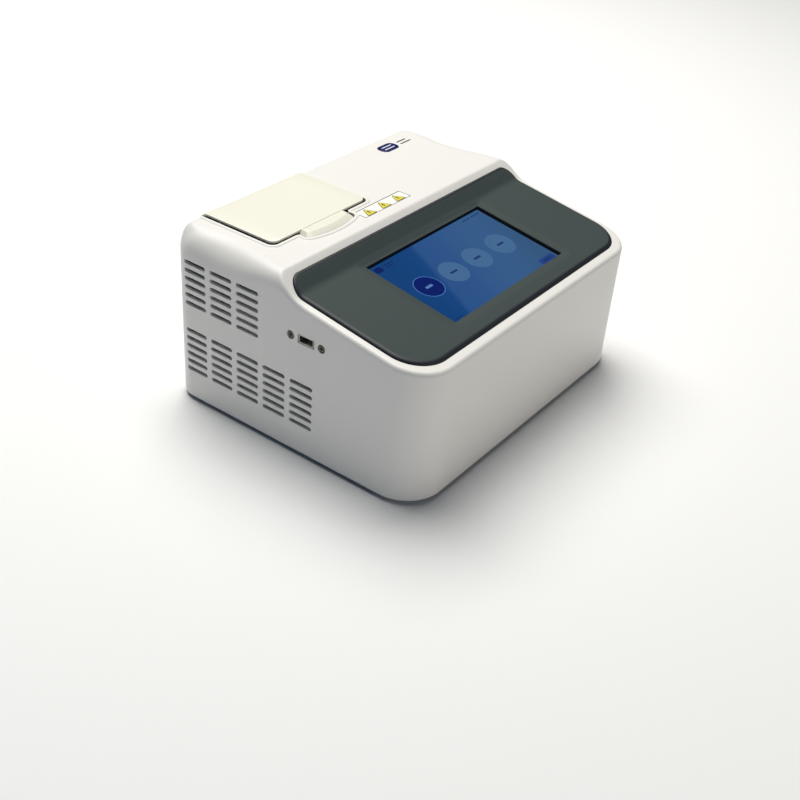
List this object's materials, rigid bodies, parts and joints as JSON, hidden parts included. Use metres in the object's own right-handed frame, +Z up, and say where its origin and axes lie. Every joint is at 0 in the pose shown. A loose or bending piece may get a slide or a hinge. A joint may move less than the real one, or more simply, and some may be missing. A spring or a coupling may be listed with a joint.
{
  "type": "thermal cycler",
  "caption": "Bench thermal cycler with a sloping touch screen and a hinged, heated lid over a block of tube wells.",
  "frame": {"origin": "centre of the footprint, on the surface the rubber feet stand on", "axes": "+X to the user's right, +Y to the rear, +Z up; the screen slopes down towards -Y"},
  "size_m": [0.32, 0.254, 0.1575],
  "materials": {
    "case_white": "fine textured",
    "lid_cream": "satin",
    "bezel_grey": "satin",
    "screen_glass": "gloss",
    "dark_plastic": "satin",
    "black_plastic": "satin",
    "white_plastic": "gloss",
    "rubber_black": "matte",
    "silicone_grey": "matte",
    "foam": "matte",
    "sheet_steel": "zinc plated",
    "screw_steel": "plated",
    "aluminium_plain": "machined",
    "bright_nickel": "plated",
    "ceramic_white": "matte",
    "board_green": "solder mask",
    "silicone_orange": "matte",
    "glass_clear": "clear",
    "wire_insulation": "satin",
    "ribbon_grey": "satin",
    "brass_plain": "turned"
  },
  "bodies": {
    "housing": {"upper_housing": "case_white", "base_pan": "sheet_steel", "rubber_feet": "rubber_black", "foot_screws": "screw_steel", "case_screws": "screw_steel", "rear_panel": "sheet_steel", "rear_panel_screws": "screw_steel", "screen_bezel": "bezel_grey", "bezel_screws": "screw_steel", "touch_glass": "screen_glass", "lcd_module": "sheet_steel", "lcd_bracket": "sheet_steel", "display_board": "board_green", "display_ribbon": "ribbon_grey", "usb_socket": "bright_nickel", "usb_tongue": "white_plastic", "usb_board": "board_green", "usb_screws": "screw_steel", "block_tray": "dark_plastic", "catch_plates": "bright_nickel", "block_gasket": "silicone_grey", "sample_block": "aluminium_plain", "peltier_modules": "ceramic_white", "block_screws": "screw_steel", "heat_sink": "aluminium_plain", "heat_sink_stand": "sheet_steel", "block_fan_frame": "black_plastic", "block_fan_guard": "bright_nickel", "case_fan_frame": "black_plastic", "case_fan_guard": "bright_nickel", "fan_screws": "screw_steel", "hinge_bracket": "sheet_steel", "hinge_screws": "screw_steel", "main_board": "board_green", "board_parts": "black_plastic", "board_standoffs": "brass_plain", "driver_board": "board_green", "driver_heat_sink": "aluminium_plain", "power_supply_case": "sheet_steel", "power_supply_board": "board_green", "mains_inlet": "black_plastic", "inlet_pins": "bright_nickel", "switch_frame": "black_plastic", "wiring": "wire_insulation"},
    "lid": {"lid_cover": "lid_cream", "lid_handle": "lid_cream", "lid_base": "dark_plastic", "lid_magnets": "bright_nickel", "lid_screws": "screw_steel", "lid_insulation": "foam", "plate_springs": "screw_steel", "plate_retainer": "dark_plastic", "hinge_pin": "screw_steel"},
    "heated_plate": {"heated_plate": "aluminium_plain", "heater_mat": "silicone_orange"},
    "block_fan": {"block_fan_rotor": "black_plastic"},
    "case_fan": {"case_fan_rotor": "black_plastic"},
    "rocker": {"switch_rocker": "black_plastic"},
    "fuse_drawer": {"fuse_drawer": "black_plastic", "fuses": "glass_clear"}
  },
  "joints": [
    {"name": "lid_hinge", "type": "hinge", "parent": "housing", "child": "lid", "pos_m": [-0.0681, 0.118, 0.1485], "axis": [-1, 0, 0], "range_deg": [0, 80]},
    {"name": "plate_float", "type": "slide", "parent": "lid", "child": "heated_plate", "axis": [0, 0, 1], "range_m": [0, 0.003], "stiffness_N_per_m": 3000, "springref_m": -0.004, "deforming": ["plate_springs"]},
    {"name": "block_fan_spin", "type": "hinge", "parent": "housing", "child": "block_fan", "pos_m": [-0.0681, 0.11, 0.058], "axis": [0, 1, 0], "continuous": true},
    {"name": "case_fan_spin", "type": "hinge", "parent": "housing", "child": "case_fan", "pos_m": [0.036, 0.11, 0.082], "axis": [0, 1, 0], "continuous": true},
    {"name": "rocker_tilt", "type": "hinge", "parent": "housing", "child": "rocker", "pos_m": [0.112, 0.1204, 0.086], "axis": [0, 0, -1], "range_deg": [0, 20]},
    {"name": "fuse_drawer_slide", "type": "slide", "parent": "housing", "child": "fuse_drawer", "axis": [0, 1, 0], "range_m": [0, 0.016]}
  ]
}
